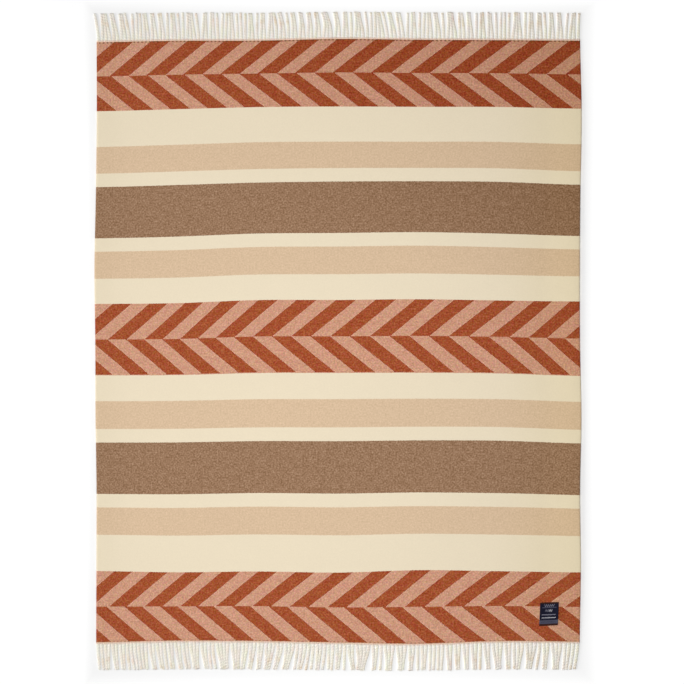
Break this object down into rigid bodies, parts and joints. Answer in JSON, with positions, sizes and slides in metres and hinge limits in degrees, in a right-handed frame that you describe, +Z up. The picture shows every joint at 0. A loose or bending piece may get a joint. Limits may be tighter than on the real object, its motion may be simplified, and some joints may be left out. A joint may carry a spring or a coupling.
{
  "type": "striped herringbone throw blanket",
  "caption": "Woven wool throw lying flat, with herringbone and plain cross stripes, a twisted fringe at each end and a small woven label in one corner.",
  "frame": {"origin": "on the surface that the throw lies on, under the middle of the whole throw with its fringes", "axes": "+Z up, +Y along the length towards the hem away from the label, +X across the width towards the label's side"},
  "size_m": [1.3086, 1.7689, 0.0076],
  "materials": {
    "cloth": "brushed wool twill",
    "fringe": "twisted wool yarn",
    "label": "satin weave"
  },
  "bodies": {
    "root": {"cloth": "cloth", "fringe_top": "fringe", "fringe_bottom": "fringe", "label": "label"}
  },
  "joints": []
}
